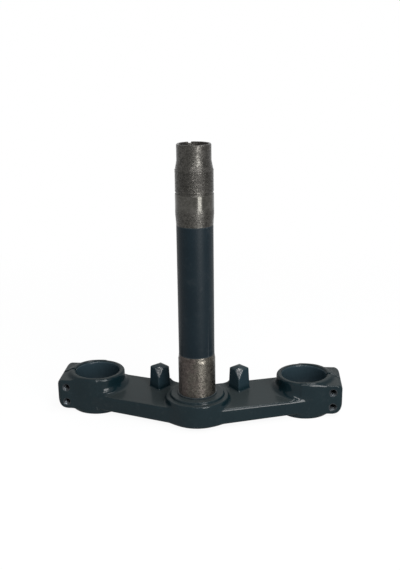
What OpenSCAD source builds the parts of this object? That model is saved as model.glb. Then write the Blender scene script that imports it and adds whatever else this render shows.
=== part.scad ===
// Lower fork yoke of a motorcycle with its pressed-in steering stem.
// The origin lies on the steering axis, in the plane where the lower bearing rests.
// +Z runs up the stem, the fork clamps lie on +X and -X, and +Y is the front of the motorcycle.

/* [Steering stem] */
// Diameter of both bearing seats
seat_d = 30; // [28:0.5:32]
// Length of the lower bearing seat
lower_seat_l = 29.5; // [24:0.5:34]
// Diameter of the painted shaft between the seats
shaft_d = 28.8; // [26:0.1:29]
// Length of the stem between the two bearing seats
shaft_l = 118; // [80:1:160]
// Length of the upper bearing seat
upper_seat_l = 17.5; // [14:0.5:22]
// Length of the thread for the adjuster nuts
thread_l = 17; // [12:0.5:22]
// Outside diameter of the thread
thread_d = 29.8; // [27:0.1:30]
// Diameter of the plain spigot at the top
spigot_d = 26.6; // [25:0.1:27]
// Length of the spigot
spigot_l = 12.8; // [8:0.1:16]
// Length of the cone between the thread and the spigot
cone_l = 6.5; // [5:0.5:9]
// Diameter of the bore through the stem
stem_bore_d = 22.6; // [18:0.1:23]
// Diameter of the collar that the lower bearing rests on
collar_d = 32.4; // [31:0.1:36]
// Height of that collar
collar_h = 1; // [0.8:0.1:2.5]
// Diameter of the part pressed into the boss
press_d = 29; // [27:0.1:29.5]

/* [Fork clamps] */
// Distance between the two fork axes
fork_spacing = 176; // [160:1:200]
// Distance of the fork axes in front of the steering axis
fork_offset = 28; // [22:1:34]
// Diameter of the fork tubes
fork_d = 37; // [33:0.5:38]
// Wall of a clamp ring
clamp_wall = 4.5; // [4:0.1:7]
// Height of a clamp ring
clamp_h = 31.5; // [28:0.5:38]
// Height of the clamp rings' top faces above the lower bearing's seat
clamp_top = 5; // [2:0.5:8]
// Width of the slot in each clamp
slot_w = 2.5; // [2:0.1:4]
// Reach of the ears beyond the fork axis
ear_reach = 31.2; // [29:0.1:36]
// Depth of a pair of ears from front to back
ear_depth = 41; // [36:0.5:44]
// Height of the ears
ear_h = 25.5; // [24:0.5:28]
// Drop from a ring's top face to the ears' top
ear_drop = 2; // [1:0.1:3]

/* [Pinch bolts] */
// Nominal diameter of the pinch bolts
bolt_d = 6; // [5:0.5:7]
// Distance between the two bolts of a clamp
bolt_spacing = 12.8; // [12:0.1:14]
// Distance of the bolts from the fork axis
bolt_reach = 23.4; // [23:0.1:25]
// Diameter of the recess for a bolt's head
head_d = 10.8; // [9:0.1:11]
// Depth of that recess
head_recess = 6; // [3:0.5:9]

/* [Boss and arms] */
// Diameter of the boss round the stem
boss_d = 52; // [46:1:56]
// Height of the boss
boss_h = 19.9; // [16:0.1:24]
// Diameter of the raised land on top of the boss
land_d = 44; // [38:1:46]
// Height of that land
land_h = 2.2; // [0.8:0.1:3]
// Distance of the arms' rear faces from the steering axis
arm_back = 23.5; // [20:0.1:24]
// Thickness of the arms
arm_t = 14.2; // [10:0.1:15]
// Height of the land's face above the arms' top at the steering axis
arm_drop = 6.5; // [4:0.1:8]
// Angle at which the arms rise towards the front
arm_tilt = 2.5; // [0:0.5:4]

/* [Steering stops] */
// Distance between the two stop posts
stop_spacing = 67.2; // [60:0.2:76]
// Distance of the posts in front of the steering axis
stop_y = 23; // [18:0.5:26]
// Side of a post's square section at its foot
stop_foot = 13.2; // [9:0.1:14]
// Side of the section at its top
stop_head = 11.6; // [7:0.1:12]
// Height of a post's top above the clamp rings' top faces
stop_rise = 8.2; // [2:0.2:12]

/* [Edges] */
// Radius on the clamp rings' rims
rim_r = 2; // [1:0.1:2]
// Radius on the arms' long edges
edge_r = 2.2; // [1:0.1:3]
// Radius of the fillets at the clamp rings' feet
ring_fillet = 3.5; // [2:0.5:6]
// Chamfer at the mouths of the bores
chamfer = 0.6; // [0.3:0.1:1]

/* [Hidden] */
$fn = 96;
eps = 0.01;
far = 400;

ring_r = fork_d / 2 + clamp_wall;
boss_r = boss_d / 2;
land_z = -collar_h;
boss_z = land_z - land_h;
boss_bottom = boss_z - boss_h;
clamp_bottom = clamp_top - clamp_h;
ear_top = clamp_top - ear_drop;
ear_mid = ear_top - ear_h / 2;
arm_z = land_z - arm_drop;
arm_at_ring = arm_z + fork_offset * tan(arm_tilt);

thread_z = lower_seat_l + shaft_l + upper_seat_l;
spigot_z = thread_z + thread_l + cone_l;
stem_top = spigot_z + spigot_l;
relief_l = 4;
groove_w = 1;
groove_depth = 0.5;
stem_chamfer = 1;
notch_w = 2.4;
notch_depth = 1;
notch_turn = 19;

boss_bottom_r = 3.5;
boss_top_r = 1;
boss_fillet = 1.6;
foot_sink = 0.8;
cove_bite = 0.1;
edge_bite = 0.04;
foot_in = 0.5;
arm_inset = 1;
ring_inset = 0.4;
arm_reach = sqrt(pow(fork_spacing / 2, 2) + pow(fork_offset, 2));
arm_turn = atan2(fork_offset, fork_spacing / 2);
arm_front_taper = asin((boss_r - arm_inset - ring_r + ring_inset) / arm_reach);
arm_back_taper = asin((arm_back - ring_r + ring_inset) / arm_reach);

ear_corner = 5;
ear_top_corner = 4.5;
ear_foot_corner = 9;
tap_d = bolt_d - 1;
clear_d = bolt_d + 0.6;
post_sink = 2;
post_shoulder = 1.2;
facet_slope = 30;
facet_l = 10;
root_r = 8.5;
root_top_r = 4.5;
root_h = 4.2;
root_in = 2.8;
root_front = 7.5;

// A rectangle whose corners on the side of larger x are rounded
module rounded_band(x0, x1, y0, y1, low_r, high_r) {
    translate([x0, y0]) square([x1 - max(low_r, high_r) - x0, y1 - y0]);
    translate([x0, y0 + low_r]) square([x1 - x0, y1 - y0 - low_r - high_r]);
    translate([x1 - low_r, y0 + low_r]) circle(low_r);
    translate([x1 - high_r, y1 - high_r]) circle(high_r);
    translate([x1 - max(low_r, high_r) - eps, y0])
        square([max(low_r, high_r) - low_r + eps, y1 - y0 - high_r]);
    translate([x1 - max(low_r, high_r) - eps, y0 + low_r])
        square([max(low_r, high_r) - high_r + eps, y1 - y0 - low_r]);
}

// The concave corner between a wall at x and a floor at y
module cove(x, y, r) {
    difference() {
        translate([x - r, y - r]) square(2 * r);
        translate([x + r - cove_bite, y + r]) circle(r);
    }
}

// What is cut off an edge that runs along Z to leave a radius
module edge_cutter(r, l) {
    linear_extrude(l, center = true) difference() {
        translate([-r, -r]) square(2 * r);
        translate([edge_bite - r, edge_bite - r]) circle(r);
    }
}

// A frustum's profile, against the stem's axis
module taper(r0, z0, r1, z1) {
    polygon([[0, z0], [r0, z0], [r1, z1], [0, z1]]);
}

// Turned stem in one piece, hollow from end to end
module stem_profile() {
    upper_seat_z = lower_seat_l + shaft_l;
    thread_end = thread_z + thread_l;
    difference() {
        union() {
            translate([0, clamp_bottom]) square([spigot_d / 2, stem_top - clamp_bottom]);
            translate([0, clamp_bottom]) square([press_d / 2, -clamp_bottom]);
            translate([0, land_z]) square([collar_d / 2, collar_h]);
            translate([0, land_z]) square([seat_d / 2, lower_seat_l - land_z]);
            square([shaft_d / 2, upper_seat_z + 1]);
            taper(seat_d / 2, lower_seat_l, shaft_d / 2, lower_seat_l + relief_l);
            taper(shaft_d / 2, upper_seat_z - 2 * relief_l, seat_d / 2, upper_seat_z);
            translate([0, upper_seat_z]) square([seat_d / 2, upper_seat_l - groove_w]);
            translate([0, upper_seat_z]) square([thread_d / 2 - groove_depth, upper_seat_l + 1]);
            translate([0, thread_z]) square([thread_d / 2, thread_l]);
            taper(thread_d / 2, thread_end, spigot_d / 2, spigot_z);
        }
        translate([-far, clamp_bottom - far]) square([far + stem_bore_d / 2, 3 * far]);
        translate([press_d / 2, clamp_bottom]) rotate(45)
            square(stem_chamfer * sqrt(2), center = true);
        translate([spigot_d / 2, stem_top]) rotate(45) square(chamfer * sqrt(2), center = true);
    }
}

module steering_stem() {
    color("dimgray") difference() {
        rotate_extrude() stem_profile();
        rotate([0, 0, notch_turn]) translate([-notch_w / 2, 0, stem_top - notch_depth])
            cube([notch_w, spigot_d, notch_depth + 1]);
    }
}

// Boss with its raised land, round the stem
module boss() {
    rotate_extrude() {
        rounded_band(0, boss_r, boss_bottom, boss_z, boss_bottom_r, boss_top_r);
        translate([0, boss_z - 1]) square([land_d / 2, land_h + 1]);
    }
}

// Outline of one arm seen from above, whose long edges run into the boss and the clamp ring
module arm_outline(extra = 0) {
    front = boss_r - arm_inset + extra;
    back = arm_back + extra;
    end = ring_r - ring_inset + extra;
    rotate(arm_turn) polygon([
        [0, 0],
        [front * sin(arm_front_taper), front * cos(arm_front_taper)],
        [arm_reach + end * sin(arm_front_taper), end * cos(arm_front_taper)],
        [arm_reach, 0],
        [arm_reach + end * sin(arm_back_taper), -end * cos(arm_back_taper)],
        [back * sin(arm_back_taper), -back * cos(arm_back_taper)]
    ]);
}

// Places its children in the arms' own tilted plane, with the top face at height zero
module arm_frame() {
    translate([0, 0, arm_z]) rotate([arm_tilt, 0, 0]) children();
}

// What rounds the two edges of a long face that lies at distance r from the steering axis
module face_edges(r, taper) {
    for (level = [0, 1])
        translate([r * sin(taper), r * cos(taper), -arm_t * level])
            rotate([0, 0, -taper]) mirror([0, 0, level]) rotate([0, 90, 0])
                mirror([1, 0, 0]) edge_cutter(edge_r, 3 * arm_reach);
}

module arm() {
    arm_frame() difference() {
        translate([0, 0, -arm_t]) linear_extrude(arm_t) arm_outline();
        rotate([0, 0, arm_turn]) {
            face_edges(boss_r - arm_inset, arm_front_taper);
            mirror([0, 1, 0]) face_edges(arm_back, arm_back_taper);
        }
    }
}

// Clamp ring on one fork axis
module clamp_ring() {
    translate([fork_spacing / 2, fork_offset, 0]) rotate_extrude()
        rounded_band(0, ring_r, clamp_bottom, clamp_top, rim_r, rim_r);
}

// Fillet where a clamp ring stands on the arm
module ring_foot() {
    intersection() {
        translate([fork_spacing / 2, fork_offset, 0]) rotate_extrude()
            cove(ring_r, arm_at_ring - foot_sink, ring_fillet);
        arm_frame() linear_extrude(far, center = true) arm_outline(-edge_r - foot_in);
    }
}

// Fillet where the boss stands on the arms
module boss_foot() {
    intersection() {
        rotate_extrude() cove(boss_r, arm_z, boss_fillet);
        arm_frame() linear_extrude(far, center = true) arm_outline(-edge_r - foot_in);
    }
}

// Pair of ears, before its slot is cut
module ears() {
    x0 = fork_spacing / 2;
    intersection() {
        translate([x0, fork_offset, 0]) linear_extrude(far, center = true) {
            translate([0, -ear_depth / 2]) square([ear_reach - ear_corner, ear_depth]);
            translate([0, ear_corner - ear_depth / 2]) square([ear_reach, ear_depth - 2 * ear_corner]);
            for (s = [-1, 1]) translate([ear_reach - ear_corner, s * (ear_depth / 2 - ear_corner)])
                circle(ear_corner);
        }
        translate([x0, fork_offset, 0]) rotate([90, 0, 0]) linear_extrude(far, center = true)
            rounded_band(0, ear_reach, ear_top - ear_h, ear_top, ear_foot_corner, ear_top_corner);
    }
}

// Steering stop: a tapered square post, turned corner-on, with a facet at the back of its top
module stop_post() {
    foot_z = arm_z - post_sink;
    h = clamp_top + stop_rise - foot_z;
    profile = [
        [-stop_foot / 2, 0], [stop_foot / 2, 0],
        [stop_head / 2, h - post_shoulder], [stop_head / 4, h],
        [-stop_head / 4, h], [-stop_head / 2, h - post_shoulder]
    ];
    corner_at_facet = (stop_foot - (stop_foot - stop_head) * (h - facet_l) / h) / sqrt(2);
    translate([stop_spacing / 2, stop_y, foot_z]) difference() {
        rotate([0, 0, 45]) intersection() {
            rotate([90, 0, 0]) linear_extrude(2 * stop_foot, center = true) polygon(profile);
            rotate([90, 0, 90]) linear_extrude(2 * stop_foot, center = true) polygon(profile);
        }
        translate([-stop_foot, -corner_at_facet, h - facet_l]) rotate([-facet_slope, 0, 0])
            translate([0, -far, -facet_l]) cube([2 * stop_foot, far, far]);
    }
}

// Low conical root in front of a stop post, on its inner side
module stop_root() {
    z = arm_z + (stop_y + root_front) * tan(arm_tilt);
    intersection() {
        translate([stop_spacing / 2 - root_in, stop_y + root_front, z - root_h])
            cylinder(r1 = 2 * root_r - root_top_r, r2 = root_top_r, h = 2 * root_h);
        arm_frame() linear_extrude(far, center = true) arm_outline(-edge_r - foot_in);
    }
}

module pinch_holes() {
    x = fork_spacing / 2 + bolt_reach;
    for (s = [-1, 1]) translate([x, fork_offset, ear_mid + s * bolt_spacing / 2]) {
        rotate([90, 0, 0]) cylinder(d = tap_d, h = far);
        rotate([-90, 0, 0]) cylinder(d = clear_d, h = far);
        translate([0, ear_depth / 2 - head_recess, 0]) rotate([-90, 0, 0]) cylinder(d = head_d, h = far);
    }
}

// Bore, slot and pinch holes of one clamp
module clamp_cuts() {
    translate([fork_spacing / 2, fork_offset, 0]) {
        translate([0, 0, -far / 2]) cylinder(d = fork_d, h = far);
        for (end = [0, 1]) translate([0, 0, end ? clamp_top : clamp_bottom]) mirror([0, 0, end])
            translate([0, 0, -eps]) cylinder(d1 = fork_d + 2 * chamfer, d2 = fork_d, h = chamfer);
        translate([0, -slot_w / 2, -far / 2]) cube([far, slot_w, far]);
    }
    pinch_holes();
}

module lower_yoke() {
    color("darkslategray") difference() {
        union() {
            boss();
            for (side = [0, 1]) mirror([side, 0, 0]) {
                arm();
                boss_foot();
                clamp_ring();
                ring_foot();
                ears();
                stop_post();
                stop_root();
            }
        }
        for (side = [0, 1]) mirror([side, 0, 0]) clamp_cuts();
        translate([0, 0, -far / 2]) cylinder(d = press_d, h = far);
    }
}

lower_yoke();
steering_stem();
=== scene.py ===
import math

import bmesh
import bpy
import numpy as np
import openvdb
from mathutils import Matrix, Vector


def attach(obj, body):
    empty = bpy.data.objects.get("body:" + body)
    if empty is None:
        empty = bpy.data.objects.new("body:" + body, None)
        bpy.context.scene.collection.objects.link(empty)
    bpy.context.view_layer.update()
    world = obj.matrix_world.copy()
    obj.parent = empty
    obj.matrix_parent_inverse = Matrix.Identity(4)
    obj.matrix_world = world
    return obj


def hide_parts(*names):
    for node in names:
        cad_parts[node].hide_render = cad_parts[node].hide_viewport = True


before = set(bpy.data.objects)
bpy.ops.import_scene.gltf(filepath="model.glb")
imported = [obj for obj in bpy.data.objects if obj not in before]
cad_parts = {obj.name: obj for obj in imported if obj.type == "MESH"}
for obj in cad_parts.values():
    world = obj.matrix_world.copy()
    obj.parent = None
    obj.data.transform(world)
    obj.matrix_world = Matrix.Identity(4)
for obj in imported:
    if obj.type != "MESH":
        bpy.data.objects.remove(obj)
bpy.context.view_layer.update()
MM = 0.001

# Sizes of the clamp body in millimetres; one half is described, the other is its mirror image
FORK_X, FORK_Y, FORK_R = 88.0, 28.0, 18.5
RING_R, RING_TOP, RING_BOTTOM, RIM_R = 23.0, 5.0, -26.5, 2.0
ARM_Z, ARM_T, ARM_TILT, EDGE_R = -7.5, 14.2, math.radians(2.5), 2.2
ARM_TURN = math.atan2(FORK_Y, FORK_X)
ARM_REACH = math.hypot(FORK_X, FORK_Y)
FRONT_BOSS, BACK_BOSS, RING_END = 25.0, 23.5, 22.6
BOSS_R, BOSS_TOP, BOSS_BOTTOM, BOSS_LOW_R, BOSS_HIGH_R = 26.0, -3.2, -23.1, 3.5, 1.0
LAND_R, LAND_TOP, LAND_ROOT, LAND_EDGE_R = 22.0, -1.0, 3.0, 0.5
EAR_X, EAR_DEPTH, EAR_TOP, EAR_BOTTOM = 119.2, 41.0, 3.0, -22.5
EAR_PLAN_R, EAR_TOP_R, EAR_FOOT_R, EAR_EDGE_R = 5.0, 5.0, 9.0, 1.3
BOLT_X, BOLT_HEIGHTS = 111.4, (-9.75 - 6.4, -9.75 + 6.4)
TAP_R, SLEEVE_R, CLEAR_R, HEAD_R, HEAD_DEPTH = 2.45, 3.1, 3.3, 5.4, 6.0
SLOT_W, MOUTH, CUT_R = 2.5, 0.9, 0.3
POST_X, POST_Y, POST_FOOT, POST_HEAD = 33.6, 23.0, 13.2, 11.6
POST_BASE, POST_TOP, POST_EDGE_R, POST_TOP_R = -9.5, 13.2, 0.9, 0.7
ROOT_X, ROOT_Y, ROOT_R, ROOT_H, ROOT_TOP_R = 30.8, 30.5, 8.5, 4.2, 1.5

# Radii of the fillets between the parts of the body
ARM_FILLET, BOSS_FILLET, EAR_FILLET = 3.0, 2.2, 5.0
ROOT_FILLET, POST_FILLET, LAND_FILLET = 2.0, 1.3, 0.5

# The fillet at a clamp ring's foot grows with the ledge between the ring and the arm's edge
FOOT_MIN, FOOT_MAX, FOOT_GROWTH, FOOT_UNDER = 0.4, 6.0, 1.15, 2.5

# Drop of an arm's rear top edge beside the ring
TWIST = 1.7

# Two roundings meet on an ear's end face and draw it in by this much
EAR_END_SINK = 0.38

# Hips of a post's top: half of the flat's width, and the hips' normal, up and outwards
HIP_FLAT, HIP_UP, HIP_OUT = POST_HEAD / 8, 0.92, 0.38

# The facet on a post's rear corner begins this far below the top
FACET_SLOPE, FACET_DROP, FACET_EDGE_R = math.radians(26), 10.0, 0.35

# How far a root draws in on each millimetre of height, and the factor that makes it a distance
ROOT_LEAN, ROOT_SCALE = 0.95, 0.72

# Radii of the stem; the painted and turned pieces are sleeves on its core
SEAT_R, SHAFT_R, THREAD_R, SPIGOT_R, BORE_R = 15.0, 14.4, 14.9, 13.3, 11.3
PRESS_R, CORE_R, COLLAR_R, COLLAR_INSIDE = 14.5, 14.2, 16.2, 14.6
LEAD, BEVEL, TOP_BEVEL = 1.0, 0.3, 0.5

# Heights along the stem
STEM_BOTTOM, PRESS_HIGH, RIM_LOW, STEM_TOP = -26.5, -0.9, 200.2, 201.3
SEAT_TOP, SHAFT_LOW, SHAFT_HIGH = 29.4, 33.3, 139.4
BEARING_LOW, BEARING_HIGH = 147.6, 163.4
GROOVE_LOW, GROOVE_HIGH = 164.0, 165.0
THREAD_LOW, THREAD_HIGH, THREAD_PITCH, THREAD_DEPTH = 165.8, 182.0, 1.0, 0.35
CONE_HIGH = 188.9
NOTCH_AT, NOTCH_DEPTH, NOTCH_HALF = math.radians(109), 1.0, 1.25

# One half of the body lies in this box; the finer grid is for full quality
HALF_BOX = ((0, 121), (-29, 51), (-29, 15))
FIELD_LIMIT = 3.0
FINE_STEP, FINE_KEEP = 0.55, 0.5


# Distance fields, in millimetres: negative inside a shape
def join(a, b, r):
    """Union with a concave fillet of radius r."""
    return np.maximum(r, np.minimum(a, b)) - np.hypot(np.maximum(r - a, 0), np.maximum(r - b, 0))


def cut(a, b, r=0.0):
    """Shape a without shape b, the new edge rounded with radius r."""
    b = -b
    if r <= 0:
        return np.maximum(a, b)
    return np.minimum(-r, np.maximum(a, b)) + np.hypot(np.maximum(r + a, 0), np.maximum(r + b, 0))


def rounded(side, height, r):
    """What lies inside two distances, with the edge between them rounded."""
    a, b = side + r, height + r
    return np.hypot(np.maximum(a, 0), np.maximum(b, 0)) + np.minimum(np.maximum(a, b), 0) - r


def disc(x, y, z, cx, cy, radius, low, high, r_low, r_high):
    """Upright cylinder with its own radius on each rim."""
    side = np.hypot(x - cx, y - cy) - radius
    middle = (low + high) / 2
    height = np.abs(z - middle) - (high - low) / 2
    return np.where(z > middle, rounded(side, height, r_high), rounded(side, height, r_low))


def arm_axes(x, y):
    """Coordinates along an arm and across it."""
    ca, sa = math.cos(ARM_TURN), math.sin(ARM_TURN)
    return x * ca + y * sa, y * ca - x * sa


def arm_sides(along, across):
    """Distances to an arm's front and rear faces, which run from the boss to the clamp ring."""
    front = math.asin((FRONT_BOSS - RING_END) / ARM_REACH)
    back = math.asin((BACK_BOSS - RING_END) / ARM_REACH)
    return (along * math.sin(front) + across * math.cos(front) - FRONT_BOSS,
            along * math.sin(back) - across * math.cos(back) - BACK_BOSS)


def arm_field(x, y, z):
    """One arm in its own tilted plane, its long edges rounded."""
    c, s = math.cos(ARM_TILT), math.sin(ARM_TILT)
    level = z - ARM_Z
    w = level * c - y * s
    along, across = arm_axes(x, y * c + level * s)
    front, back = arm_sides(along, across)
    side = np.maximum(np.maximum(front, back), np.maximum(along - ARM_REACH, -along))
    outward = np.clip(along / ARM_REACH, 0, 1)
    rearward = np.clip((RING_END - across) / (2 * RING_END), 0, 1)
    drop = TWIST * outward * rearward
    return rounded(side, np.maximum(w + drop, -w - ARM_T), EDGE_R)


def ring_fillet(x, y, z):
    """Radius of the fillet at a clamp ring's foot, which dies out where the arm's edge meets the ring."""
    ux, uy = x - FORK_X, y - FORK_Y
    rho = np.maximum(np.hypot(ux, uy), 1e-6)
    along, across = arm_axes(FORK_X + ux * RING_R / rho, FORK_Y + uy * RING_R / rho)
    ledge = -np.maximum(*arm_sides(along, across))
    radius = np.clip(FOOT_MIN + FOOT_GROWTH * ledge, FOOT_MIN, FOOT_MAX)
    return np.where(z < ARM_Z - ARM_T / 2, np.minimum(radius, FOOT_UNDER), radius)


def ear_field(x, y, z):
    """Both ears of a ring as one block; the slot is cut out later."""
    end = x - EAR_X - EAR_END_SINK
    plan = rounded(end, np.abs(y - FORK_Y) - EAR_DEPTH / 2, EAR_PLAN_R)
    foot = rounded(end, EAR_BOTTOM - z, EAR_FOOT_R)
    top = rounded(end, z - EAR_TOP, EAR_TOP_R)
    return np.maximum(rounded(plan, np.maximum(top, foot), EAR_EDGE_R), FORK_X - x)


def post_half(z):
    """Half the width of a tapered stop post at a height."""
    t = (z - POST_BASE) / (POST_TOP - POST_BASE)
    return (POST_FOOT + (POST_HEAD - POST_FOOT) * t) / 2


def post_field(x, y, z):
    """Tapered square post, corner-on, with a hipped top and a facet at its back."""
    u = np.abs(x - POST_X + (y - POST_Y)) / math.sqrt(2)
    v = np.abs(y - POST_Y - (x - POST_X)) / math.sqrt(2)
    side = rounded(u - post_half(z), v - post_half(z), POST_EDGE_R)
    wide = np.maximum(np.maximum(u, v) - HIP_FLAT, 0)
    hip = (z - POST_TOP) * HIP_UP + wide * HIP_OUT
    facet_z = POST_TOP - FACET_DROP
    corner = POST_Y - post_half(facet_z) * math.sqrt(2)
    behind = (y - corner) * math.cos(FACET_SLOPE) - (z - facet_z) * math.sin(FACET_SLOPE)
    post = np.maximum(rounded(side, hip, POST_TOP_R), POST_BASE - z)
    return cut(post, behind, FACET_EDGE_R)


def root_field(x, y, z):
    """Low root in front of a stop post, inside the arm's front edge."""
    ground = ARM_Z + ROOT_Y * math.tan(ARM_TILT)
    root = (np.hypot(x - ROOT_X, y - ROOT_Y) - ROOT_R + (z - ground) * ROOT_LEAN) * ROOT_SCALE
    root = rounded(root, z - ground - ROOT_H, ROOT_TOP_R)
    root = np.maximum(root, ground - ROOT_H - z)
    return np.maximum(root, arm_sides(*arm_axes(x, y))[0] + EDGE_R)


def bores(body, x, y, z):
    """The body without the fork bore, the slot, the bolt holes and the stem's bore."""
    beyond = np.maximum(z - RING_TOP, RING_BOTTOM - z) + MOUTH
    fork = np.hypot(x - FORK_X, y - FORK_Y) - FORK_R - np.maximum(beyond, 0)
    body = cut(body, fork, CUT_R)
    body = cut(body, np.maximum(np.abs(y - FORK_Y) - SLOT_W / 2, FORK_X - x), CUT_R)
    for height in BOLT_HEIGHTS:
        hole = np.hypot(x - BOLT_X, z - height)
        radius = np.where(y < FORK_Y, SLEEVE_R, CLEAR_R)
        body = cut(body, hole - radius, CUT_R)
        body = cut(body, np.maximum(hole - HEAD_R, FORK_Y + EAR_DEPTH / 2 - HEAD_DEPTH - y), CUT_R)
    return cut(body, np.hypot(x, y) - PRESS_R)


def yoke_field(x, y, z):
    """The whole clamp body, for x from 0 up."""
    ring = disc(x, y, z, FORK_X, FORK_Y, RING_R, RING_BOTTOM, RING_TOP, RIM_R, RIM_R)
    boss = disc(x, y, z, 0, 0, BOSS_R, BOSS_BOTTOM, BOSS_TOP, BOSS_LOW_R, BOSS_HIGH_R)
    land = disc(x, y, z, 0, 0, LAND_R, BOSS_TOP - LAND_ROOT, LAND_TOP, LAND_EDGE_R, LAND_EDGE_R)
    body = join(arm_field(x, y, z), arm_field(-x, y, z), ARM_FILLET)
    body = join(body, boss, BOSS_FILLET)
    body = join(body, ring, ring_fillet(x, y, z))
    body = join(body, ear_field(x, y, z), EAR_FILLET)
    body = join(body, root_field(x, y, z), ROOT_FILLET)
    body = join(body, post_field(x, y, z), POST_FILLET)
    body = join(body, land, LAND_FILLET)
    body = np.maximum(body, np.maximum(y - FORK_Y - RING_R, RING_BOTTOM - z))
    return bores(body, x, y, z)


def sample(field, origin, step, points):
    """Value of a grid at points, between its nodes."""
    q = (points - origin) / step
    i = np.clip(np.floor(q).astype(int), 0, np.array(field.shape) - 2)
    f = q - i
    value = 0
    for dx in (0, 1):
        for dy in (0, 1):
            for dz in (0, 1):
                w = np.abs(1 - dx - f[:, 0]) * np.abs(1 - dy - f[:, 1]) * np.abs(1 - dz - f[:, 2])
                value = value + w * field[i[:, 0] + dx, i[:, 1] + dy, i[:, 2] + dz]
    return value


def show(name, mesh):
    """New object in the scene."""
    piece = bpy.data.objects.new(name, mesh)
    bpy.context.collection.objects.link(piece)
    return piece


def yoke_mesh(step, keep):
    """Skin of the clamp body, thinned out, shaded by the field's own slope."""
    xs, ys, zs = (np.arange(low, high + step, step) for low, high in HALF_BOX)
    x, y, z = np.meshgrid(xs, ys, zs, indexing="ij")
    half = yoke_field(x, y, z).astype(np.float32)
    full = np.concatenate([half[:0:-1], half])
    origin = np.array([-xs[-1], ys[0], zs[0]])
    grid = openvdb.FloatGrid()
    grid.background = FIELD_LIMIT
    grid.copyFromArray(np.clip(full, -FIELD_LIMIT, FIELD_LIMIT))
    points, triangles, quads = grid.convertToPolygons(isovalue=0.0, adaptivity=0.0)
    points = points.astype(float) * step + origin
    mesh = bpy.data.meshes.new("yoke")
    mesh.from_pydata((points * MM).tolist(), [], triangles.tolist() + quads.tolist())
    mesh.update()
    piece = show("yoke_body", mesh)
    tool = piece.modifiers.new("decimate", "DECIMATE")
    tool.ratio = keep
    mesh = bpy.data.meshes.new_from_object(piece.evaluated_get(bpy.context.evaluated_depsgraph_get()))
    piece.modifiers.clear()
    piece.data = mesh
    co = np.empty(len(mesh.vertices) * 3)
    mesh.vertices.foreach_get("co", co)
    co = co.reshape(-1, 3) / MM
    normal = np.stack([sample(slope, origin, step, co) for slope in np.gradient(full)], 1)
    normal /= np.maximum(np.linalg.norm(normal, axis=1, keepdims=True), 1e-6)
    mesh.polygons.foreach_set("use_smooth", np.ones(len(mesh.polygons), bool))
    mesh.normals_split_custom_set_from_vertices(normal.tolist())
    return piece


# Turned pieces
def turn(bm, profile, segments, place):
    """Skin round an axis along a closed profile; place puts an angle, a radius and a height in space."""
    rows = []
    angles = [2 * math.pi * k / segments for k in range(segments)]
    for r, h in profile:
        rows.append([bm.verts.new([c * MM for c in place(a, r, h)]) for a in angles])
    for low, high in zip(rows, rows[1:] + rows[:1]):
        for k in range(segments):
            n = (k + 1) % segments
            bm.faces.new((low[k], low[n], high[n], high[k]))


def turned_piece(name, bm, crease=math.radians(28)):
    """Piece from a skin, smooth except for the edges that the tool left crisp."""
    bm.normal_update()
    for face in bm.faces:
        face.smooth = True
    for edge in bm.edges:
        edge.smooth = edge.calc_face_angle(0) <= crease
    mesh = bpy.data.meshes.new(name)
    bm.to_mesh(mesh)
    bm.free()
    return show(name, mesh)


def on_stem(a, r, h):
    """Point on the stem's skin."""
    return r * math.cos(a), r * math.sin(a), h


def lathe(name, profile, segments=160, place=on_stem):
    """Turn a profile of (radius, height) round the stem's axis."""
    bm = bmesh.new()
    turn(bm, profile, segments, place)
    return turned_piece(name, bm)


def helix(height, pitch, a):
    """Goes from 1 to 0 and back over one pitch, and winds round the axis."""
    phase = (height / pitch - a / (2 * math.pi)) % 1.0
    return abs(2 * phase - 1)


def on_tube(a, r, h):
    """Point on the tube, with the notch in its rim and the steering thread, which fades out at its ends."""
    first, last = 165.9, 181.9
    if abs(math.remainder(a - NOTCH_AT, 2 * math.pi)) * SPIGOT_R < NOTCH_HALF:
        h = min(h, STEM_TOP - NOTCH_DEPTH)
    if first < h < last:
        fade = min(1.0, (h - first) / 0.7, last - h)
        r -= THREAD_DEPTH * fade * (1 - helix(h, THREAD_PITCH, a))
    return on_stem(a, r, h)


def straight(r, *heights):
    """Points of one radius; a long face has several, so that the shading of its ends stays near them."""
    return [(r, h) for h in heights]


def stem_collar():
    """Black shoulder that the lower bearing rests on."""
    inner, rim = COLLAR_R - 0.2, 0.2
    return lathe("stem_collar", [(COLLAR_INSIDE, LAND_TOP), (inner, LAND_TOP), (COLLAR_R, LAND_TOP + rim),
                                 (COLLAR_R, -rim), (inner, 0.0), (COLLAR_INSIDE, 0.0)])


def lower_seat():
    """Bare lower bearing seat, with a short lead at its top that runs out on the shaft."""
    seat = straight(SEAT_R, 0.0, 2.0, 15.0, 28.0, SEAT_TOP)
    lead = [(SEAT_R - 0.15, SEAT_TOP + 0.3), (SHAFT_R + 0.12, SHAFT_LOW - 0.5), (SHAFT_R, SHAFT_LOW)]
    return lathe("stem_lower_seat", [(CORE_R, 0.0)] + seat + lead + [(CORE_R, SHAFT_LOW)])


def painted_shaft():
    """Black middle of the stem, which widens a little where the upper bearing seat begins."""
    shaft = straight(SHAFT_R, SHAFT_LOW, 34.5, 85.0, 137.0, SHAFT_HIGH - 1.0)
    end = [(SHAFT_R + 0.02, SHAFT_HIGH), (CORE_R, SHAFT_HIGH)]
    return lathe("stem_shaft", [(CORE_R, SHAFT_LOW)] + shaft + end)


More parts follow.
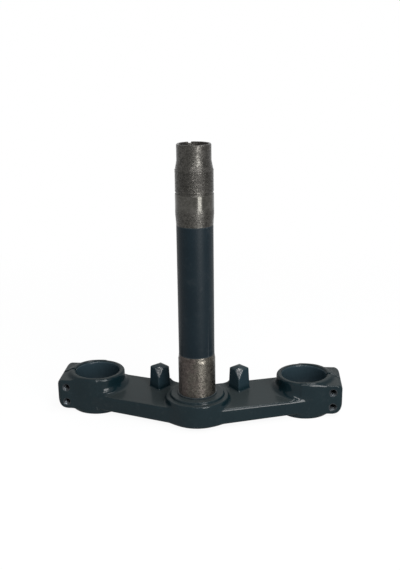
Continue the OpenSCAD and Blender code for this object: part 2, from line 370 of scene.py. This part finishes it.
def stem_tube():
    """Core of the stem: press fit, upper bearing seat, groove, thread, cone, spigot and bore."""
    press = [(BORE_R, STEM_BOTTOM + BEVEL), (BORE_R + BEVEL, STEM_BOTTOM), (PRESS_R - LEAD, STEM_BOTTOM)]
    press += straight(PRESS_R, STEM_BOTTOM + LEAD, -12.0, PRESS_HIGH)
    core = straight(CORE_R, PRESS_HIGH, 20.0, 100.0, SHAFT_HIGH)
    seat = [(SHAFT_R + 0.02, SHAFT_HIGH), (SHAFT_R + 0.1, SHAFT_HIGH + 1.6), (SEAT_R - 0.1, 146.9)]
    seat += straight(SEAT_R, BEARING_LOW, 149.0, 156.0, BEARING_HIGH)
    seat += [(SEAT_R - BEVEL, 163.9)]
    groove = straight(SHAFT_R, GROOVE_LOW, GROOVE_HIGH)
    groove += [(SHAFT_R + 0.1, GROOVE_HIGH + 0.1), (THREAD_R, GROOVE_HIGH + 0.6)]
    turns = straight(THREAD_R, *np.arange(THREAD_LOW, THREAD_HIGH, THREAD_PITCH / 8))
    cone = [(THREAD_R - 0.1, THREAD_HIGH), (THREAD_R - 0.4, THREAD_HIGH + 0.6), (SPIGOT_R + 0.15, 188.2)]
    spigot = straight(SPIGOT_R, CONE_HIGH, 190.0, 196.0, RIM_LOW, 200.7)
    rim = [(SPIGOT_R - TOP_BEVEL, STEM_TOP), (12.4, STEM_TOP), (BORE_R + TOP_BEVEL, STEM_TOP)]
    bore = straight(BORE_R, STEM_TOP - TOP_BEVEL, RIM_LOW, 190.0, 160.0, 100.0, 30.0)
    profile = press + core + seat + groove + turns + cone + spigot + rim + bore
    return lathe("stem_tube", profile, segments=192, place=on_tube)


def pinch_threads():
    """Tapped holes of the pinch bolts: short sleeves with an inside thread, along Y."""
    start, end = FORK_Y - EAR_DEPTH / 2 + 0.1, FORK_Y - SLOT_W / 2
    crest = SLEEVE_R - 0.05
    wall = SLEEVE_R + 0.3
    profile = [(wall, end), (wall, start), (SLEEVE_R, start)]
    profile += [(crest, y) for y in np.arange(start + 0.1, end, 0.14)]
    profile += [(SLEEVE_R, end)]
    bm = bmesh.new()
    for side in (-1, 1):
        for height in BOLT_HEIGHTS:
            def on_sleeve(a, r, y):
                if r == crest:
                    fade = min(1.0, (y - start) / 0.8)
                    r = crest - (crest - TAP_R) * fade * helix(y, THREAD_PITCH, a)
                return side * BOLT_X + r * math.cos(a), y, height + r * math.sin(a)

            turn(bm, profile, 40, on_sleeve)
    bmesh.ops.recalc_face_normals(bm, faces=bm.faces)
    return turned_piece("pinch_threads", bm)


# Node helpers for the materials, the floor and the world
class Nodes:
    def __init__(self, owner):
        owner.use_nodes = True
        self.owner = owner
        self.tree = owner.node_tree

    def plug(self, socket, value):
        """Link a socket to a node's output, or set its constant."""
        if isinstance(value, bpy.types.NodeSocket):
            self.tree.links.new(value, socket)
        elif socket.type == "RGBA":
            socket.default_value = (*value, 1)
        else:
            socket.default_value = value

    def add(self, kind, **sockets):
        node = self.tree.nodes.new("ShaderNode" + kind)
        for key, value in sockets.items():
            self.plug(node.inputs[key.replace("_", " ")], value)
        return node

    def position(self, scale=(1, 1, 1)):
        coord = self.add("TexCoord")
        return self.add("Mapping", Vector=coord.outputs["Object"], Scale=scale).outputs["Vector"]

    def split(self, vector):
        return self.add("SeparateXYZ", Vector=vector).outputs

    def noise(self, vector, scale, detail=3.0, rough=0.5):
        node = self.add("TexNoise", Vector=vector, Scale=scale, Detail=detail, Roughness=rough)
        return node.outputs["Fac"]

    def ramp(self, fac, *stops):
        """Two stops of a place and a grey or a colour."""
        node = self.add("ValToRGB", Fac=fac)
        for element, (at, value) in zip(node.color_ramp.elements, stops):
            element.position = at
            element.color = ((value,) * 3 if isinstance(value, float) else value) + (1,)
        return node.outputs["Color"]

    def math(self, kind, a, b=0.0, clamp=False):
        node = self.add("Math")
        node.operation = kind
        node.use_clamp = clamp
        for socket, value in zip(node.inputs, (a, b)):
            self.plug(socket, value)
        return node.outputs[0]

    def mix(self, fac, a, b, kind="MIX"):
        node = self.add("Mix")
        node.data_type = "RGBA"
        node.blend_type = kind
        for place, value in ((0, fac), (6, a), (7, b)):
            self.plug(node.inputs[place], value)
        return node.outputs[2]

    def tint(self, color, mask, share, tone):
        """A colour with a share of a tone in it where a mask is 1."""
        return self.mix(self.math("MULTIPLY", mask, share), color, tone)

    def less(self, value, mask, share):
        """A value made smaller by a share of itself where a mask is 1."""
        return self.math("MULTIPLY", value, self.math("SUBTRACT", 1.0, self.math("MULTIPLY", mask, share)))

    def bump(self, height, strength, distance):
        return self.add("Bump", Height=height, Strength=strength, Distance=distance).outputs["Normal"]

    def blend(self, fac, first, second):
        node = self.add("MixShader")
        for socket, value in zip(node.inputs, (fac, first, second)):
            self.plug(socket, value)
        return node.outputs[0]

    def finish(self, **sockets):
        """Set the material's own shader."""
        for key, value in sockets.items():
            self.plug(self.tree.nodes["Principled BSDF"].inputs[key.replace("_", " ")], value)
        return self.owner


# Grain of each noise, in cells per metre
CLOUD, PEEL, GRIT, SPECKS, WEAR = 35, 520, 1500, 160, 900
TOOL_MARKS, BLOTCHES, MOTTLE, PITS, DULL = (60, 60, 2600), 70, 520, 1100, 760

# Colours that are mixed into the paint and the steel, linear
# The edge tone is a painted highlight together with light wear
# The level-face tone is a painted sheen together with settled dust
DUST_TONE, LEVEL_SHEEN_AND_DUST_TONE, EDGE_HIGHLIGHT_AND_WEAR_TONE = (0.03, 0.034, 0.035), (0.034, 0.040, 0.040), (0.05, 0.055, 0.058)
# The fill tone is painted light that lifts the shade in the fork bores and on the stop posts
FILL_LIGHT_TONE, WORN_TONE = (0.026, 0.042, 0.052), (0.13, 0.13, 0.13)
PIT_TONE, POLISHED_TONE = (0.014, 0.012, 0.011), (0.084, 0.082, 0.073)


def black_paint(name, dark, light, rough, gloss, coat, worn_facets_and_painted_fill=False):
    """Satin black paint with a faint orange peel and dust specks; level faces painted lighter, a painted
    sheen together with settled dust, and edges painted lighter, a painted highlight together with light wear.
    """
    n = Nodes(bpy.data.materials.new(name))
    pos = n.position()
    geometry = n.add("NewGeometry").outputs
    cloud = n.noise(pos, CLOUD, 4, 0.6)
    color = n.ramp(cloud, (0.3, dark), (0.75, light))
    dust = n.ramp(n.noise(pos, SPECKS, 5, 0.7), (0.55, 0.0), (0.8, 1.0))
    color = n.tint(color, dust, 0.2, DUST_TONE)
    # Painted sheen: faces that look up are lighter, standing for grazing light together with settled dust
    level_sheen_and_dust = n.ramp(n.split(geometry["Normal"])["Z"], (0.86, 0.0), (0.99, 1.0))
    color = n.tint(color, level_sheen_and_dust, 0.6, LEVEL_SHEEN_AND_DUST_TONE)
    # Painted highlight: rounded edges are lighter, together with light wear
    edges = n.ramp(geometry["Pointiness"], (0.535, 0.0), (0.6, 1.0))
    color = n.tint(color, edges, 0.3, EDGE_HIGHLIGHT_AND_WEAR_TONE)
    height = n.math("ADD", n.noise(pos, PEEL, 2), n.math("MULTIPLY", n.noise(pos, GRIT, 2), 0.2))
    metal = 0.0
    # Painted fill light: the fork bores and the stop posts get a lighter colour that lifts their shade; the
    # facets' wear is real
    if worn_facets_and_painted_fill:
        color = n.tint(color, painted_fill_places(n, pos), 0.6, FILL_LIGHT_TONE)
        bare = facet_wear(n, pos)
        color = n.mix(bare, color, WORN_TONE)
        metal = n.math("MULTIPLY", bare, 0.9)
        height = n.math("ADD", height, n.math("MULTIPLY", bare, -0.5))
    return n.finish(
        Base_Color=color, Roughness=n.ramp(cloud, (0.2, rough - 0.05), (0.8, rough + 0.05)), Metallic=metal,
        Specular_IOR_Level=gloss, Coat_Weight=coat, Coat_Roughness=0.15, Coat_IOR=2.5,
        Normal=n.bump(height, 0.16, 0.4 * MM))


def near_pair(n, place, x, y, radius):
    """1 within a radius of an upright line and of its twin on the other side."""
    away = n.math("SUBTRACT", n.math("ABSOLUTE", place["X"]), x * MM)
    back = n.math("SUBTRACT", place["Y"], y * MM)
    square = n.math("ADD", n.math("MULTIPLY", away, away), n.math("MULTIPLY", back, back))
    return n.math("LESS_THAN", square, (radius * MM) ** 2)


def painted_fill_places(n, pos):
    """1 on the walls of the fork bores and half on the stop posts, where the colour is painted lighter as
    fill light that lifts their shade.
    """
    place = n.split(pos)
    walls = near_pair(n, place, FORK_X, FORK_Y, FORK_R + 0.4)
    posts = near_pair(n, place, POST_X, POST_Y, 10)
    rise = n.math("MULTIPLY", n.math("ADD", place["Z"], 6 * MM), 250, clamp=True)
    return n.math("MAXIMUM", walls, n.math("MULTIPLY", n.math("MULTIPLY", posts, rise), 0.5))


def facet_wear(n, pos):
    """Where the stop posts' rear facets are rubbed down to the metal."""
    lean = n.add("VectorMath")
    lean.operation = "DOT_PRODUCT"
    n.plug(lean.inputs[0], n.add("NewGeometry").outputs["True Normal"])
    n.plug(lean.inputs[1], (0, -math.cos(FACET_SLOPE), math.sin(FACET_SLOPE)))
    along = n.ramp(lean.outputs["Value"], (0.965, 0.0), (0.99, 1.0))
    place = n.split(pos)
    high = n.ramp(n.math("MULTIPLY", place["Z"], 1 / (POST_TOP * MM)), (0.18, 0.0), (0.3, 1.0))
    near = n.math("LESS_THAN", n.math("ABSOLUTE", place["X"]), (POST_X + 9) * MM)
    patch = n.ramp(n.noise(pos, WEAR, 4, 0.8), (0.44, 0.05), (0.56, 1.0))
    return n.math("MULTIPLY", n.math("MULTIPLY", along, high), n.math("MULTIPLY", near, patch))


def polished_band(n, height, low, high):
    """1 between two heights on the stem; it fades in at the lower one and ends sharply at the upper one."""
    above = n.math("MULTIPLY", n.math("SUBTRACT", height, low * MM), 250, clamp=True)
    below = n.math("MULTIPLY", n.math("SUBTRACT", high * MM, height), 2000, clamp=True)
    return n.math("MULTIPLY", above, below)


def bare_steel(name, tint, stain, rust, pits, turned=True, polished=None, stained_side=0, grain=1.0):
    """Darkened steel with stains and pits; the tool marks of a turned face stretch its highlights upright."""
    n = Nodes(bpy.data.materials.new(name))
    pos = n.position()
    place = n.split(pos)
    marks = n.noise(n.position(TOOL_MARKS), 1, 3)
    blotch = n.noise(pos, BLOTCHES, 6, 0.7)
    mottle = n.noise(n.position((1, 1, 1.3)), MOTTLE * grain, 4, 0.7)
    pit = n.noise(pos, PITS, 4, 0.75)
    if stained_side:
        blotch = n.math("SUBTRACT", blotch, n.math("MULTIPLY", place["X"], stained_side))
    rusty = n.ramp(blotch, (0.42, 0.0), (0.62, 1.0))
    color = n.tint(tint, rusty, rust, stain)
    color = n.mix(1.0, color, n.ramp(mottle, (0.38, 0.66), (0.61, 1.28)), "MULTIPLY")
    color = n.tint(color, n.ramp(pit, (0.34, 1.0), (0.45, 0.0)), pits, PIT_TONE)
    dull = n.ramp(n.noise(n.position((1, 1, 1.2)), DULL * grain, 3, 0.6), (0.44, 0.0), (0.53, 1.0))
    height = n.math("ADD", n.math("MULTIPLY", pit, pits), mottle)
    if polished:
        bright = polished_band(n, place["Z"], *polished)
        dull = n.less(dull, bright, 0.85)
        color = n.tint(color, bright, 0.3, POLISHED_TONE)
        height = n.less(height, bright, 0.9)
    height = n.math("ADD", height, n.math("MULTIPLY", marks, 0.15))
    rough = n.math("ADD", n.math("MULTIPLY", dull, 0.3), n.math("MULTIPLY", rusty, 0.05))
    if turned:
        tangent = n.add("Tangent")
        tangent.direction_type = "RADIAL"
        tangent.axis = "Z"
        n.finish(Anisotropic=0.85, Anisotropic_Rotation=0.25, Tangent=tangent.outputs["Tangent"])
    return n.finish(Base_Color=color, Roughness=n.math("ADD", rough, 0.23), Metallic=n.less(1.0, rusty, 0.25),
                    Normal=n.bump(height, 0.5, 0.3 * MM))


def dress(piece, mat, node):
    """Give a piece its material and its place in the part."""
    piece.data.materials.clear()
    piece.data.materials.append(mat)
    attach(piece, "root")
    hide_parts(node)


# Floor, world, lamps and camera
def seen_white(n):
    """1 for what the camera sees by itself, in a reflection or through glass, and 0 for other light."""
    path = n.add("LightPath").outputs
    seen = n.math("MAXIMUM", path["Is Camera Ray"], path["Is Glossy Ray"])
    return n.math("MAXIMUM", seen, path["Is Transmission Ray"])


def lay_floor():
    """Plain white floor that takes a faint shadow near the part and none farther off."""
    bpy.ops.mesh.primitive_plane_add(size=30, location=(0, 0, STEM_BOTTOM * MM))
    floor = bpy.context.object
    floor.name = "floor"
    n = Nodes(bpy.data.materials.new("floor"))
    n.tree.nodes.clear()
    reach = n.add("VectorMath")
    reach.operation = "LENGTH"
    n.plug(reach.inputs[0], n.add("TexCoord").outputs["Object"])
    away = reach.outputs["Value"]
    clear = n.add("MapRange", Value=away, From_Min=0.1, From_Max=0.6, To_Min=0.93, To_Max=1.0)
    share = n.math("MULTIPLY", seen_white(n), clear.outputs["Result"])
    plain = n.add("BsdfDiffuse", Color=(0.85, 0.85, 0.85))
    glow = n.add("Emission")
    n.add("OutputMaterial", Surface=n.blend(share, plain.outputs[0], glow.outputs[0]))
    floor.data.materials.append(n.owner)
    return floor


def light_world():
    """Cool dim light all round, white where it is seen."""
    world = bpy.data.worlds.new("studio")
    bpy.context.scene.world = world
    n = Nodes(world)
    n.tree.nodes.clear()
    dim = n.add("Background", Color=(0.9, 0.95, 1.0), Strength=0.5)
    white = n.add("Background", Color=(1, 1, 1))
    n.add("OutputWorld", Surface=n.blend(seen_white(n), dim.outputs[0], white.outputs[0]))


LAMP_TARGET, LAMP_DISTANCE = Vector((0, 0, 0.06)), 0.9


def lamp(name, azimuth, elevation, size, power):
    """Soft rectangular lamp; azimuth counts from -Y towards +X."""
    a, e = math.radians(azimuth), math.radians(elevation)
    away = Vector((math.sin(a) * math.cos(e), -math.cos(a) * math.cos(e), math.sin(e)))
    data = bpy.data.lights.new(name, "AREA")
    data.shape = "RECTANGLE"
    data.size, data.size_y = size
    data.energy = power
    item = bpy.data.objects.new(name, data)
    item.location = LAMP_TARGET + LAMP_DISTANCE * away
    item.rotation_euler = (-away).to_track_quat("-Z", "Y").to_euler()
    bpy.context.collection.objects.link(item)


# Place and lens of the camera that took the photograph; its picture is PHOTO_HEIGHT pixels high
CAMERA_PLACE = (0.0530, -0.6140, 0.2781)
YAW, PITCH, ROLL = math.radians(4.62), math.radians(16.94), math.radians(-0.75)
FOCAL_PIXELS, PHOTO_HEIGHT, SENSOR = 816.9, 570, 36


def place_camera():
    right = Vector((math.cos(YAW), math.sin(YAW), 0))
    ahead = Vector((-math.sin(YAW) * math.cos(PITCH), math.cos(YAW) * math.cos(PITCH), -math.sin(PITCH)))
    up = right.cross(ahead)
    side = math.cos(ROLL) * right + math.sin(ROLL) * up
    top = -math.sin(ROLL) * right + math.cos(ROLL) * up
    data = bpy.data.cameras.new("camera")
    data.sensor_width = SENSOR
    data.lens = FOCAL_PIXELS / PHOTO_HEIGHT * SENSOR
    data.clip_end = 50
    camera = bpy.data.objects.new("camera", data)
    turned = Matrix((side, top, -ahead)).transposed().to_4x4()
    camera.matrix_world = Matrix.Translation(CAMERA_PLACE) @ turned
    bpy.context.collection.objects.link(camera)
    bpy.context.scene.camera = camera


# The pieces
yoke_paint = black_paint("yoke_paint", dark=(0.0016, 0.0066, 0.0088), light=(0.0030, 0.0088, 0.0112),
                         rough=0.4, gloss=0.02, coat=0.064, worn_facets_and_painted_fill=True)
stem_paint = black_paint("stem_paint", dark=(0.0010, 0.0046, 0.0072), light=(0.0024, 0.0068, 0.0100),
                         rough=0.43, gloss=0.12, coat=0.0)
seat_steel = bare_steel("seat_steel", tint=(0.085, 0.079, 0.068), stain=(0.048, 0.038, 0.034),
                        rust=0.9, pits=0.8, stained_side=14, grain=0.8)
tube_steel = bare_steel("tube_steel", tint=(0.058, 0.056, 0.051), stain=(0.046, 0.043, 0.039),
                        rust=0.8, pits=0.8, polished=(150, 163.9))
thread_steel = bare_steel("thread_steel", tint=(0.044, 0.051, 0.057), stain=(0.024, 0.027, 0.029),
                          rust=0.5, pits=0.4, turned=False)
yoke = yoke_mesh(FINE_STEP, FINE_KEEP)
dress(yoke, yoke_paint, "lower_yoke")
dress(stem_collar(), stem_paint, "steering_stem")
dress(lower_seat(), seat_steel, "steering_stem")
dress(painted_shaft(), stem_paint, "steering_stem")
dress(stem_tube(), tube_steel, "steering_stem")
dress(pinch_threads(), thread_steel, "lower_yoke")

# The studio
lay_floor()
light_world()
lamp("key", azimuth=35, elevation=9, size=(0.34, 0.55), power=10)
lamp("strip", azimuth=17, elevation=45, size=(0.7, 0.12), power=5.6)
lamp("edge", azimuth=90, elevation=72, size=(0.2, 0.2), power=2.5)
place_camera()
bpy.context.scene.view_settings.view_transform = "Standard"
